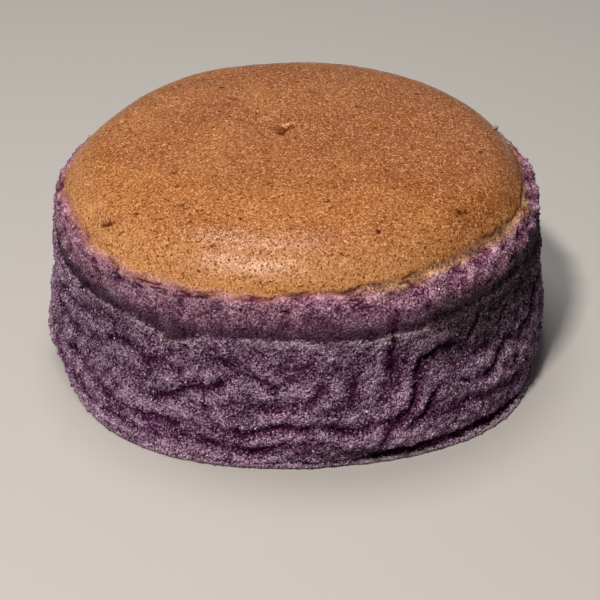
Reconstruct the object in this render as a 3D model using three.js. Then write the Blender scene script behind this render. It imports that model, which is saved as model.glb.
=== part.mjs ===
// A whole round jiggly cheesecake, turned out of its tin and standing on its flat underside.
// It is one solid: a soft purple crumb whose side has shrunk into cloth-like folds, a smooth
// collar above them, a rounded shoulder, and a browned crust that domes up in the middle.
// Millimetres, +Z up. The origin is the middle of the underside, and -Y is the front.
import * as THREE from "three";

// Driving dimensions
const cakeDiameter = 200;
const cakeHeight = 90.5;
const columnCount = 112;

// Rings of the outline, worked out from the driving dimensions
const cakeRadius = cakeDiameter / 2;
const foot = { radius: 0.972 * cakeRadius, edge: 1.6, undercut: 0.9 };
const belly = { radius: 0.988 * cakeRadius, height: 0.135 * cakeHeight };
const waist = { radius: 0.948 * cakeRadius, height: 0.46 * cakeHeight };
const collar = { radius: 0.941 * cakeRadius, bottom: 0.6 * cakeHeight, top: 0.705 * cakeHeight };
const crust = { radius: 0.886 * cakeRadius, edge: 0.792 * cakeHeight };
const shoulderTurn = 65;

// Rings of facets in each stretch of the outline. The dome's crowd towards the crust's edge.
const rows = { underside: 2, foot: 3, wall: 25, shoulder: 4, dome: 7, domeCrowding: 1.9 };

// The dome is the sum of a broad curve and a steep-sided one: [share of the rise, power of the radius].
const domeCurves = [[0.35, 2.4], [0.65, 12]];

// How far the plan is from a true circle: [lobes round the cake, size in mm, degrees to the first lobe].
const footLobes = [[2, 0.8, 80], [4, 2.4, 47], [5, 0.8, 48], [7, 0.4, 5]];
const wallLobes = [[2, 0.6, 85], [3, 0.5, 160], [5, 0.4, 30]];
const crustLobes = [[1, 1.1, -70], [2, 0.8, -40], [3, 0.6, -48], [7, 0.4, 10]];

// Folds of the side that were pressed in by the lining. Each is a valley along a smooth curve
// through [degrees from the front towards +X, height in mm], so deep and so wide at its middle.
// A curve is traced at so many steps, and its valley is shallow over the first and last of them.
const traceSteps = 16;
const endFade = 0.35;
const frontFolds = [
  { depth: 1.5, width: 2.8, route: [[-55, 34], [-46, 39], [-40, 39.5], [-33, 36]] },
  { depth: 1.7, width: 3.0, route: [[-65, 20], [-60, 23], [-55, 21]] },
  { depth: 2.3, width: 2.6, route: [[-56, 21], [-47, 16], [-37, 15], [-24, 15.5]] },
  { depth: 2.2, width: 2.6, route: [[-32, 24], [-26, 29.5], [-20, 32.5], [-15, 37.5]] },
  { depth: 1.2, width: 2.4, route: [[-21, 42], [-17, 44], [-12, 45]] },
  { depth: 1.5, width: 2.6, route: [[-15, 41], [-8.5, 37.5], [-2, 33]] },
  { depth: 1.8, width: 2.4, route: [[-16, 28], [-9, 27], [-0.5, 29], [4, 32], [5.5, 39]] },
  { depth: 2.4, width: 2.4, route: [[-23, 17.5], [-12, 16.2], [-3, 20], [11, 18.5], [23, 21]] },
  { depth: 1.9, width: 2.3, route: [[-21, 9.5], [-9, 8.5], [-3, 12.4], [6, 12.4], [13, 6], [23, 5.5]] },
  { depth: 1.6, width: 3.4, route: [[5, 24], [10.5, 28], [12.5, 35], [14.5, 47]] },
  { depth: 2.0, width: 2.8, route: [[22, 64], [21, 53], [21.3, 46], [19.8, 32], [17, 27]] },
  { depth: 2.7, width: 2.8, route: [[38, 45], [28, 40.5], [26.5, 28], [21.5, 17], [15.5, 6]] },
  { depth: 1.9, width: 2.7, route: [[37, 31], [31.5, 28.5], [28.5, 20], [24.5, 14]] },
  { depth: 2.3, width: 2.7, route: [[33, 28.5], [42, 25.5], [48, 25], [54, 31.5], [62, 26]] },
  { depth: 1.7, width: 2.5, route: [[30, 19], [40, 18], [50, 15], [58, 12]] },
  { depth: 1.4, width: 2.5, route: [[44, 54], [41, 46.5], [38, 40]] },
];

// The same kind of folds all round the back, spread evenly by multiples of irrational steps.
const backFolds = {
  count: 40, from: 66, to: 296, lowest: 7, highest: 47, span: [13, 36], rise: 11, sag: 5,
  depth: [1.2, 2.5], width: [2.4, 3.2], steps: [0.618034, 0.754878, 0.56984, 0.31831, 0.882905],
};

// The middle of the crust sank to a small forked crease while the cake cooled.
const topCrease = { x: -5, y: 6, reach: 9, depth: 1.1 };

const between = (low, high, share) => low + (high - low) * share;
const fraction = (number) => number - Math.floor(number);
const radians = THREE.MathUtils.degToRad;

function lobesAt(lobes, azimuth) {
  const waves = lobes.map(([count, size, start]) => size * Math.cos(count * (azimuth - radians(start))));
  return waves.reduce((sum, wave) => sum + wave, 0);
}

function makeBackFold(index) {
  const [place, height, length, slope, bend] = backFolds.steps.map((step) => fraction((index + 1) * step));
  const middle = between(backFolds.from, backFolds.to, place);
  const half = between(...backFolds.span, length) / 2;
  const level = between(backFolds.lowest, backFolds.highest, height);
  const rise = backFolds.rise * (slope - 0.5);
  const sag = backFolds.sag * (bend - 0.5);
  return {
    depth: between(...backFolds.depth, slope),
    width: between(...backFolds.width, bend),
    route: [[middle - half, level - rise], [middle, level + sag], [middle + half, level + rise]],
  };
}

// A fold's route becomes points on the unrolled side, where x is the way round in mm.
function traceFold(fold) {
  const place = ([degrees, height]) => new THREE.Vector2(radians(degrees) * waist.radius, height);
  const curve = new THREE.SplineCurve(fold.route.map(place));
  return { ...fold, points: curve.getSpacedPoints(traceSteps) };
}

const backFoldList = Array.from({ length: backFolds.count }, (_, index) => makeBackFold(index));
const folds = [...frontFolds, ...backFoldList].map(traceFold);

// Depth that all the folds take out of the side at one place: each is a bell-shaped valley
// that fades to nothing at both of its ends.
function foldDepth(azimuth, height) {
  const aroundWay = 2 * Math.PI * waist.radius;
  const place = new THREE.Vector2();
  let depth = 0;
  for (const fold of folds) {
    let valley = 0;
    fold.points.forEach((point, index) => {
      const along = azimuth * waist.radius - point.x;
      place.set(along - aroundWay * Math.round(along / aroundWay), height - point.y);
      const fade = Math.sqrt(Math.sin((Math.PI * (index + endFade)) / (traceSteps + 2 * endFade)));
      valley = Math.max(valley, fade * Math.exp(-place.lengthSq() / fold.width ** 2));
    });
    depth = Math.max(depth, fold.depth * valley);
  }
  return depth;
}

// Half of the cake's outline, from the middle of the underside to the top of the dome.
function makeOutline() {
  const points = [];
  const underside = foot.radius - foot.edge;
  for (let row = 0; row <= rows.underside; row++) {
    points.push(new THREE.Vector2((underside * row) / rows.underside, 0));
  }
  for (let row = 1; row <= rows.foot; row++) {
    const turn = (Math.PI * row) / (rows.foot + 1);
    const across = Math.sin(turn);
    const up = 1 - Math.cos(turn);
    points.push(new THREE.Vector2(underside + foot.edge * across, (foot.edge * up) / 2));
  }
  const wall = new THREE.SplineCurve([
    new THREE.Vector2(foot.radius - foot.undercut, foot.edge * 2),
    new THREE.Vector2(belly.radius, belly.height),
    new THREE.Vector2(between(belly.radius, waist.radius, 0.6), between(belly.height, waist.height, 0.5)),
    new THREE.Vector2(waist.radius, waist.height),
    new THREE.Vector2(collar.radius, collar.bottom),
    new THREE.Vector2(collar.radius, collar.top),
  ]);
  points.push(...wall.getSpacedPoints(rows.wall));
  for (let row = 1; row <= rows.shoulder; row++) {
    const turn = radians(shoulderTurn) * (row / rows.shoulder);
    const inward = (1 - Math.cos(turn)) / (1 - Math.cos(radians(shoulderTurn)));
    const up = Math.sin(turn) / Math.sin(radians(shoulderTurn));
    points.push(new THREE.Vector2(
      between(collar.radius, crust.radius, inward), between(collar.top, crust.edge, up)));
  }
  for (let row = 1; row <= rows.dome; row++) {
    const share = 1 - (row / rows.dome) ** rows.domeCrowding;
    points.push(new THREE.Vector2(crust.radius * share, domeHeight(share)));
  }
  return points;
}

// Height of the dome's outline at a share of the crust's radius.
function domeHeight(share) {
  const fall = domeCurves.reduce((sum, [part, power]) => sum + part * share ** power, 0);
  return between(cakeHeight, crust.edge, fall);
}

// How much of each uneven outline is felt at a point: the foot's low down, the crust's on the top.
function unevenRadius(azimuth, radius, height) {
  const low = 1 - THREE.MathUtils.smoothstep(height, 0, belly.height);
  const high = THREE.MathUtils.smoothstep(height, collar.top, crust.edge);
  const side = (1 - low) * (1 - high);
  const top = high * lobesAt(crustLobes, azimuth);
  const shift = low * lobesAt(footLobes, azimuth) + side * lobesAt(wallLobes, azimuth) + top;
  return radius + shift * Math.min(1, radius / crust.radius);
}

function makeCakeGeometry() {
  const geometry = new THREE.LatheGeometry(makeOutline(), columnCount);
  geometry.rotateX(Math.PI / 2);
  const position = geometry.getAttribute("position");
  for (let index = 0; index < position.count; index++) {
    const [x, y, height] = [position.getX(index), position.getY(index), position.getZ(index)];
    const radius = Math.hypot(x, y);
    if (radius < 1e-6) {
      position.setXYZ(index, 0, 0, height);
      continue;
    }
    const azimuth = Math.atan2(x, -y);
    const onWall = height > foot.edge && height < collar.top && radius > crust.radius;
    const cut = onWall ? foldDepth(azimuth, height) : 0;
    const newRadius = unevenRadius(azimuth, radius, height) - cut;
    const toCrease = Math.hypot(x - topCrease.x, y - topCrease.y) / topCrease.reach;
    const sink = height > crust.edge ? topCrease.depth * Math.exp(-(toCrease ** 2)) : 0;
    position.setXYZ(index, newRadius * Math.sin(azimuth), -newRadius * Math.cos(azimuth), height - sink);
  }
  geometry.computeBoundingBox();
  const middle = geometry.boundingBox.getCenter(new THREE.Vector3());
  geometry.translate(-middle.x, -middle.y, 0);
  geometry.computeVertexNormals();
  return geometry;
}

const crumb = new THREE.MeshStandardMaterial({ color: "#6f5162", roughness: 0.9, metalness: 0 });
const cake = new THREE.Mesh(makeCakeGeometry(), crumb);
cake.name = "cake";

const cheesecake = new THREE.Group();
cheesecake.add(cake);

export default cheesecake;
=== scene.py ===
import functools
import math
import bpy
import mathutils
import numpy as np
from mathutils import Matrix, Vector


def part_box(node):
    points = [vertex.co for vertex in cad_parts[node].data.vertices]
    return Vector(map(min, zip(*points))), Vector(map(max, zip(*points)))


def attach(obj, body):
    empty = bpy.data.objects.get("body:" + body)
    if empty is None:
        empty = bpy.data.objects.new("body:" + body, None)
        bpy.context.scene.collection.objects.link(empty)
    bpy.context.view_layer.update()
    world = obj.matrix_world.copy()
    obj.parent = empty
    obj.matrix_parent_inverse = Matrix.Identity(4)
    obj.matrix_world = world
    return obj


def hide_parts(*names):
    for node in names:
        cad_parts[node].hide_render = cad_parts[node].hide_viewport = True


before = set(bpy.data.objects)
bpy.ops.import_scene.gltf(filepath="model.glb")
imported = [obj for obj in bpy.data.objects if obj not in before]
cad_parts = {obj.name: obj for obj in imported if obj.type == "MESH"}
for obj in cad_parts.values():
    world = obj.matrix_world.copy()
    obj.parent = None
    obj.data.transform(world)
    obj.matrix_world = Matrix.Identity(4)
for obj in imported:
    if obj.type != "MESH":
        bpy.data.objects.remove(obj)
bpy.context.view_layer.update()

# A whole round jiggly cheesecake. Lengths below are millimetres, and mm turns them into metres.
# Azimuth is in degrees round the cake, 0 at the front (-Y) and rising towards +X.
mm = 0.001
lowCorner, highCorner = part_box("cake")
cakeWidth = (highCorner.x - lowCorner.x) / mm
cakeHeight = highCorner.z / mm
print(f"frame: the cake is {cakeWidth:.1f} mm wide and {cakeHeight:.1f} mm high")


def smooth(low, high, value):
    # 0 below low, 1 above high, and 3t^2 - 2t^3 between them
    share = np.clip((value - low) / (high - low), 0.0, 1.0)
    return share * share * (3 - 2 * share)


def bell(distance, width):
    # exp(-(distance / width)^2)
    return np.exp(-np.square(distance / width))


def turnGap(azimuth, middle):
    # signed degrees from middle to azimuth, the short way round
    return (azimuth - middle + 180) % 360 - 180


def arcSpan(azimuth, start, end, soft):
    # 1 from start to end degrees, fading to 0 over soft degrees outside them
    middle, half = (start + end) / 2, (end - start) / 2
    return 1 - smooth(half, half + soft, np.abs(turnGap(azimuth, middle)))


def arcSum(stretches, azimuth):
    # sum of size * arcSpan(azimuth, start, end, soft)
    return sum(size * arcSpan(azimuth, *stretch) for size, *stretch in stretches)


def ripples(waves, azimuth):
    # sum of size * sin(count * azimuth + start)
    return sum(size * np.sin(np.radians(azimuth * count + start)) for size, count, start in waves)


farAway = 9.0  # a distance in mm at which no crease or edge is felt any more

noiseTable = np.random.default_rng(20)
noiseOrder = np.tile(noiseTable.permutation(256), 2)
noiseSlopes = noiseTable.normal(size=(256, 3))
noiseSlopes /= np.linalg.norm(noiseSlopes, axis=1, keepdims=True)


def noise(points, size, shift=0.0):
    # gradient noise: random slopes on a lattice of the given size, blended by 6t^5 - 15t^4 + 10t^3. Each
    # use has a shift of its own, which only makes it unlike the others.
    scaled = points / size + shift * np.array([17.31, 5.77, 11.93])
    cell = np.floor(scaled).astype(int)
    inside = scaled - cell
    blend = inside ** 3 * (inside * (inside * 6 - 15) + 10)
    total = np.zeros(points.shape[:-1])
    for corner in np.ndindex(2, 2, 2):
        lattice = (cell + corner) & 255
        index = noiseOrder[noiseOrder[noiseOrder[lattice[..., 0]] + lattice[..., 1]] + lattice[..., 2]]
        weight = np.prod(np.where(corner, blend, 1 - blend), axis=-1)
        total += weight * np.sum(noiseSlopes[index] * (inside - corner), axis=-1)
    return 1.7 * total  # this brings it to about -1 to 1


def noiseCrease(points, size, shift):
    # rough distance in mm to the lines where noise is zero: |noise| * size / 2
    return np.abs(noise(points, size, shift)) * size / 2


def splineThrough(points, count):
    # Catmull-Rom curve: each stretch is a cubic whose end slopes are half the chord of its neighbours
    points = np.asarray(points, float)
    padded = np.vstack([2 * points[0] - points[1], points, 2 * points[-1] - points[-2]])
    place = np.linspace(0, len(points) - 1, count)
    stretch = np.minimum(place.astype(int), len(points) - 2)
    t = (place - stretch)[:, None]
    a, b, c, d = (padded[stretch + step] for step in range(4))
    square, cube = t ** 2, t ** 3
    return 0.5 * (2 * b + (c - a) * t + (2 * a - 5 * b + 4 * c - d) * square + (3 * b - a - 3 * c + d) * cube)


def linear(hexColour):
    # sRGB hex to linear RGBA: ((c + 0.055) / 1.055)^2.4, or c / 12.92 near black
    channels = np.array([int(hexColour[i:i + 2], 16) for i in (1, 3, 5)]) / 255
    straight = np.where(channels <= 0.04045, channels / 12.92, ((channels + 0.055) / 1.055) ** 2.4)
    return (*straight.tolist(), 1.0)


cake = {
    "columns": 656,  # round the side, 0.93 mm apart, and a multiple of 8 for the cap's grid
    "wallRows": 107,  # up the side, over the shoulder and on to the dome
    "capRadius": 78,  # the dome inside this radius is a square grid bent to a disc
    "crustRadius": 88.6,
    "crustHeight": 71.7,
    "domeCurves": [(0.35, 2.4), (0.65, 12)],  # (share of the rise, power of the radius)
    # radius and height of the outline from the underside's edge up to the crust's edge
    "outline": [(95.2, 0), (96.6, 0.5), (97.1, 1.7), (96.5, 3.4), (97.4, 6.6), (98.6, 12), (98.0, 20),
                (96.3, 30), (95.0, 40), (94.4, 48), (94.1, 54), (94.1, 60), (93.8, 64), (92.9, 67.4),
                (91.2, 70.0), (88.6, 71.7)],
    "outlineSteps": (1500, 400),  # points along the outline's spline, and along the dome outside the cap
    # rows crowd together at the crust's edge and at the foot: by what share more, and over how many mm
    "edgeCrowding": (0.8, 6), "footCrowding": (0.5, 4), "crowdingSteps": 4000,
    "slopeStep": 0.4,  # mm along the outline over which its slope is measured
    "standBlur": (1.2, 5),  # grid steps over which relief is blurred, to tell what stands out
    # waves in the plan: (lobes round the cake, size, azimuth of the first lobe)
    "footLobes": [(2, 0.8, 80), (4, 2.4, 47), (5, 0.8, 48), (7, 0.4, 5)],
    "wallLobes": [(2, 0.6, 85), (3, 0.5, 160), (5, 0.4, 30)],
    "crustLobes": [(1, 1.1, -70), (2, 0.8, -40), (3, 0.6, -48), (7, 0.4, 10)],
}

# Folds are valleys where the lining pressed the side in: depth, width, and a route of (azimuth, height).
frontFolds = [
    (1.5, 2.2, [(-55, 34), (-46, 39), (-40, 39.5), (-33, 36)]),
    (1.7, 2.6, [(-65, 20), (-60, 23), (-55, 21)]),
    (2.4, 1.9, [(-56, 21), (-47, 16), (-37, 15), (-24, 15.5)]),
    (2.3, 2.0, [(-32, 24), (-26, 29.5), (-20, 32.5), (-15, 37.5)]),
    (1.2, 1.9, [(-21, 42), (-17, 44), (-12, 45)]),
    (1.5, 2.0, [(-15, 41), (-8.5, 37.5), (-2, 33)]),
    (1.4, 1.9, [(-16, 28), (-9, 27), (-0.5, 29), (4, 32), (5.5, 39)]),
    (3.0, 1.6, [(-24, 17.2), (-12, 16.2), (-3, 20), (11, 18.5), (23, 21)]),
    (1.9, 1.7, [(-21, 9.5), (-9, 8.5), (-3, 12.4), (6, 12.4), (13, 6), (23, 5.5)]),
    (1.2, 2.6, [(5, 24), (10.5, 28), (12.5, 35), (14.5, 47)]),
    (2.0, 2.0, [(22, 64), (21, 53), (21.3, 46), (19.8, 32), (17, 27)]),
    (2.8, 2.0, [(38, 45), (28, 40.5), (26.5, 28), (21.5, 17), (15.5, 6)]),
    (1.9, 2.0, [(37, 31), (31.5, 28.5), (28.5, 20), (24.5, 14)]),
    (2.4, 1.9, [(33, 28.5), (42, 25.5), (48, 25), (54, 31.5), (62, 26)]),
    (1.7, 1.8, [(30, 19), (40, 18), (50, 15), (58, 12)]),
    (1.4, 1.9, [(44, 54), (41, 46.5), (38, 40)]),
    (0.8, 1.8, [(-62, 29), (-58, 31), (-54, 31.6)]),
    (0.8, 2.6, [(-56, 20), (-54.5, 23), (-53, 25)]),
    (0.9, 1.6, [(-47.5, 47.8), (-44, 46), (-41, 45)]),
    (0.9, 2.4, [(-58.7, 51), (-56, 53), (-53.3, 54.5)]),
    (0.8, 1.2, [(-13.3, 61.2), (-11.2, 54.5), (-9.3, 49.1)]),
    (0.9, 1.6, [(-14.5, 29), (-12, 31.6), (-9.5, 32.3)]),
    (0.9, 1.4, [(0.5, 5.4), (2, 8), (3.4, 10)]),
    (1.0, 1.7, [(41.7, 34.7), (45, 36), (50, 35.3)]),
    (1.0, 1.5, [(54.2, 19.5), (57, 21), (59.2, 22.2)]),
    (0.9, 1.4, [(60.4, 14.1), (62, 14.6), (64.6, 14.1)]),
    (1.0, 1.6, [(59, 36), (61, 35), (63, 33)]),
]
# Folds of the same kind over the rest of the side, spread evenly by multiples of irrational steps.
backFolds = {
    "count": 46, "from": 66, "to": 296, "lowest": 7, "highest": 47, "span": (11, 36), "rise": 13, "sag": 6,
    "depth": (1.1, 2.6), "width": (1.5, 2.3), "steps": (0.618034, 0.754878, 0.56984, 0.31831, 0.882905),
}
# The torn edge that divides the smooth collar from the folds below it: (azimuth, height) along the front.
seamRoute = [(-70, 51), (-58, 52.1), (-51, 51.5), (-41, 53), (-31, 50), (-28.3, 47.8), (-25.8, 49.1),
             (-21.6, 52.5), (-18.3, 52.5), (-12, 53.5), (-5, 54.5), (0.5, 54.4), (4.3, 52.5), (8, 53.8),
             (12.5, 53.8), (16.3, 52.5), (20.4, 54.5), (25.8, 53.5), (32, 54.5), (42.5, 55.2), (55, 55.9),
             (70, 55)]
# Over the back it waves about this height: (size, waves round the cake, start).
seamBack = 53
seamWaves = [(1.3, 3, 0), (0.9, 7, 40)]
# The cut across a fold is a sharp groove in a softer bell, with a swelling on both sides. Widths are in
# widths of the fold, and the groove and the swelling in its depths.
foldShape = {
    "unrollRadius": 95, "routeSteps": 48, "endFade": 0.4, "reach": 5,
    "groove": 0.75, "grooveWidth": 0.4, "bellWidth": 1.3,
    "swelling": 0.3, "swellingPlace": 2.2, "swellingWidth": 1.4,
    "darkFrom": 1.6,  # a fold shallower than this many mm is less dark at the bottom
}
# Sharp wrinkles between the folds, in two kinds: size, depth and width.
wrinkles = {
    "coarse": (17, 1.0, 1.5), "fine": (8, 0.6, 0.9), "patchSize": 22,
    "stretch": 2.1,  # how much longer they are round the cake than up it
    "climb": 26,  # how far they rise towards the front right
}
# Where the foot has drawn in over a thin lip: start and end azimuth, fade in degrees, and strength.
footHollows = [(16, 55, 8, 1.0), (-52, 6, 14, 0.4), (160, 195, 20, 0.8), (264, 276, 14, 0.7)]
# Height of the hollow's middle above the lip: (azimuth, height).
hollowHeights = [(13, 2.8), (22, 3.3), (30, 4.2), (36, 4.2), (42, 3.6), (50, 3.2), (60, 3.0)]


def backFoldRoutes():
    # place, height, length, slope and bend of fold n are the fractions of n times the five steps
    share = np.outer(np.arange(1, backFolds["count"] + 1), backFolds["steps"]) % 1
    middle = backFolds["from"] + (backFolds["to"] - backFolds["from"]) * share[:, 0]
    level = backFolds["lowest"] + (backFolds["highest"] - backFolds["lowest"]) * share[:, 1]
    half = np.interp(share[:, 2], (0, 1), backFolds["span"]) / 2
    rise = backFolds["rise"] * (share[:, 3] - 0.5)
    sag = backFolds["sag"] * (share[:, 4] - 0.5)
    depth = np.interp(share[:, 3], (0, 1), backFolds["depth"])
    width = np.interp(share[:, 4], (0, 1), backFolds["width"])
    start = np.stack([middle - half, level - rise], 1)
    end = np.stack([middle + half, level + rise], 1)
    routes = np.stack([start, np.stack([middle, level + sag], 1), end], 1)
    return list(zip(depth, width, routes))


def lobes(waves, azimuth):
    # sum of size * cos(count * (azimuth - start))
    return sum(size * np.cos(count * np.radians(azimuth - start)) for count, size, start in waves)


def domeHeight(radius):
    # the top, less the rise times the sum of part * (radius / crustRadius)^power
    share = np.minimum(radius / cake["crustRadius"], 1)
    fall = sum(part * share ** power for part, power in cake["domeCurves"])
    return cakeHeight - (cakeHeight - cake["crustHeight"]) * fall


def makeOutline():
    # the outline's spline, then the dome's curve in to the cap, as points of radius and height
    sideSteps, domeSteps = cake["outlineSteps"]
    wallLine = splineThrough(cake["outline"], sideSteps)
    radius = np.linspace(cake["crustRadius"], cake["capRadius"], domeSteps)[1:]
    line = np.vstack([wallLine, np.stack([radius, domeHeight(radius)], 1)])
    along = np.concatenate([[0], np.cumsum(np.linalg.norm(np.diff(line, axis=0), axis=1))])
    return line, along, along[len(wallLine) - 1]


def foldRelief(azimuth, height, points):
    # each fold cuts in by depth * (groove * exp(-d / grooveWidth) + (1 - groove) * bell(d, bellWidth)),
    # where d is the distance to its route on the unrolled side, after noise has moved the place a little.
    # Gives the valleys, the swellings beside them, and the distance to the nearest fold.
    shape = foldShape
    unroll = np.radians(1) * shape["unrollRadius"]
    around = azimuth * unroll + 1.5 * noise(points, 11, 1) + 0.7 * noise(points, 4.5, 41)
    up = height + 1.3 * noise(points, 9, 2) + 0.7 * noise(points, 4.2, 42)
    strength = 0.85 + 0.5 * noise(points, 12, 3)
    valley = np.zeros_like(azimuth)
    swelling = np.zeros_like(azimuth)
    crease = np.full_like(azimuth, farAway)
    for depth, width, route in frontFolds + backFoldRoutes():
        line = splineThrough(route, shape["routeSteps"]) * (unroll, 1)
        reach = shape["reach"] * width
        x = line[:, 0].mean() + turnGap(around / unroll, line[:, 0].mean() / unroll) * unroll
        near = np.flatnonzero((x > line[:, 0].min() - reach) & (x < line[:, 0].max() + reach)
                              & (up > line[:, 1].min() - reach) & (up < line[:, 1].max() + reach))
        gap = np.hypot(x[near, None] - line[:, 0], up[near, None] - line[:, 1])
        closest = gap.argmin(1)
        distance = gap[np.arange(len(near)), closest]
        fade = np.sin(np.pi * (closest + 1) / (len(line) + 1)) ** shape["endFade"]
        cut = depth * fade * strength[near]
        groove = shape["groove"] * np.exp(-distance / (shape["grooveWidth"] * width))
        groove += (1 - shape["groove"]) * bell(distance, shape["bellWidth"] * width)
        beside = bell(distance - shape["swellingPlace"] * width, shape["swellingWidth"] * width)
        faint = 1.4 * (1 - np.clip(cut / shape["darkFrom"], 0, 1))
        valley[near] = np.maximum(valley[near], cut * groove)
        swelling[near] = np.maximum(swelling[near], shape["swelling"] * cut * beside)
        crease[near] = np.minimum(crease[near], distance + faint)
    return valley, swelling * (1 - np.clip(valley, 0, 1)), crease


def wrinkleRelief(azimuth, points):
    # two kinds of sharp valley, depth * exp(-gap / width), along the zero lines of noise that is
    # stretched round the cake, pushed about by slower noise, and sheared upwards at the front right,
    # where the folds climb
    front = turnGap(azimuth, 0)
    climb = wrinkles["climb"] * smooth(12, 34, front) * (1 - smooth(60, 120, front))
    lay = points * (1, 1, wrinkles["stretch"]) + 4.5 * noise(points, 13, 6)[..., None]
    lay[..., 2] -= wrinkles["stretch"] * climb
    patch = smooth(-0.35, 0.35, noise(points, wrinkles["patchSize"], 8))
    coarseSize, coarseDepth, coarseWidth = wrinkles["coarse"]
    fineSize, fineDepth, fineWidth = wrinkles["fine"]
    coarse = noiseCrease(lay, coarseSize, 7)
    fine = noiseCrease(lay, fineSize, 17)
    valley = coarseDepth * np.exp(-coarse / coarseWidth) * patch
    valley += fineDepth * np.exp(-fine / fineWidth) * (0.35 + 0.65 * (1 - patch))
    crease = np.minimum(coarse + 2.0 * (1 - patch) + 0.25, fine + 0.8 + 0.8 * patch)
    return valley, crease


def seamHeight(azimuth):
    # the route along the front, and slow waves at the same level over the back
    route = np.array(seamRoute)
    back = seamBack + ripples(seamWaves, azimuth)
    front = np.interp(turnGap(azimuth, 0), route[:, 0], route[:, 1])
    return back + (front - back) * arcSpan(azimuth, -62, 62, 12)


def streakPlace(azimuth, above):
    # a place for noise that runs in streaks round the cake: the way up the outline counts 2.5 times
    angle = np.radians(azimuth)
    return np.stack([90 * np.sin(angle), -90 * np.cos(angle), 2.5 * above], -1)


def crustEdge(azimuth):
    # how far above the outline's crust edge the brown starts: the sum of size * bell(degrees, width) for the
    # slow bends, and of the ripples
    bends = sum(size * bell(turnGap(azimuth, middle), width) for size, middle, width in rift["bends"])
    return bends + ripples(rift["ripples"], azimuth)


def footRelief(azimuth, height, points):
    # a bell-shaped hollow just above the floor in some stretches, over a lip that stands out all round
    front = turnGap(azimuth, 0)
    span = np.zeros_like(azimuth)
    for start, end, fade, strength in footHollows:
        span = np.maximum(span, strength * arcSpan(azimuth, start, end, fade))
    middle = np.interp(front, *np.transpose(hollowHeights)) + 0.8 * noise(points, 8, 11)
    span = span * smooth(-0.8, 0.1, noise(points, 17, 43))
    width = 0.6 + 0.8 * bell(turnGap(azimuth, 38), 14) + 0.4 * noise(points, 6, 47)
    hollow = bell(height - middle, width) * span
    lip = (1 - smooth(0.9, 2.1, height)) * (0.35 + 0.65 * span) * (1 + 0.6 * noise(points, 5, 44))
    return hollow, lip, span


# The side below the crust: the heights between which each part of it fades in or out, and how far each
# kind of relief stands out or cuts in.
side = {
    "foldsStart": (1.5, 6), "foldsEnd": (49, 55), "highFolds": (40, 50), "shoulder": (57, 68),
    "stainAndShadeStart": (32, 48), "stainAndShadeEnd": (59, 66),
    # start, end and fade in degrees of the stretch with a stain and painted shade, of the one where the torn
    # edge is dulled by it, of the swollen foot and of the lumpy shoulder, and how far down the shoulder comes
    # in two more
    "stainedAndShaded": (38, 80, 18), "dulled": (36, 75, 8), "swollen": (-72, 0, 22), "lumpy": (35, 100, 15),
    "shoulderDrops": [(3.2, -80, -30, 25), (2, 25, 70, 15)],
    "billow": 0.65, "swelling": 0.75, "valley": 0.62, "wrinkle": 0.38, "grain": 1.0, "pit": 0.4,
    "seamLip": 0.35, "seamStep": 0.5, "collarCrease": 0.4, "cleft": 1.0,
    "footLip": 0.7, "footHollow": 1.5, "footSwell": 1.3,
}


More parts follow.
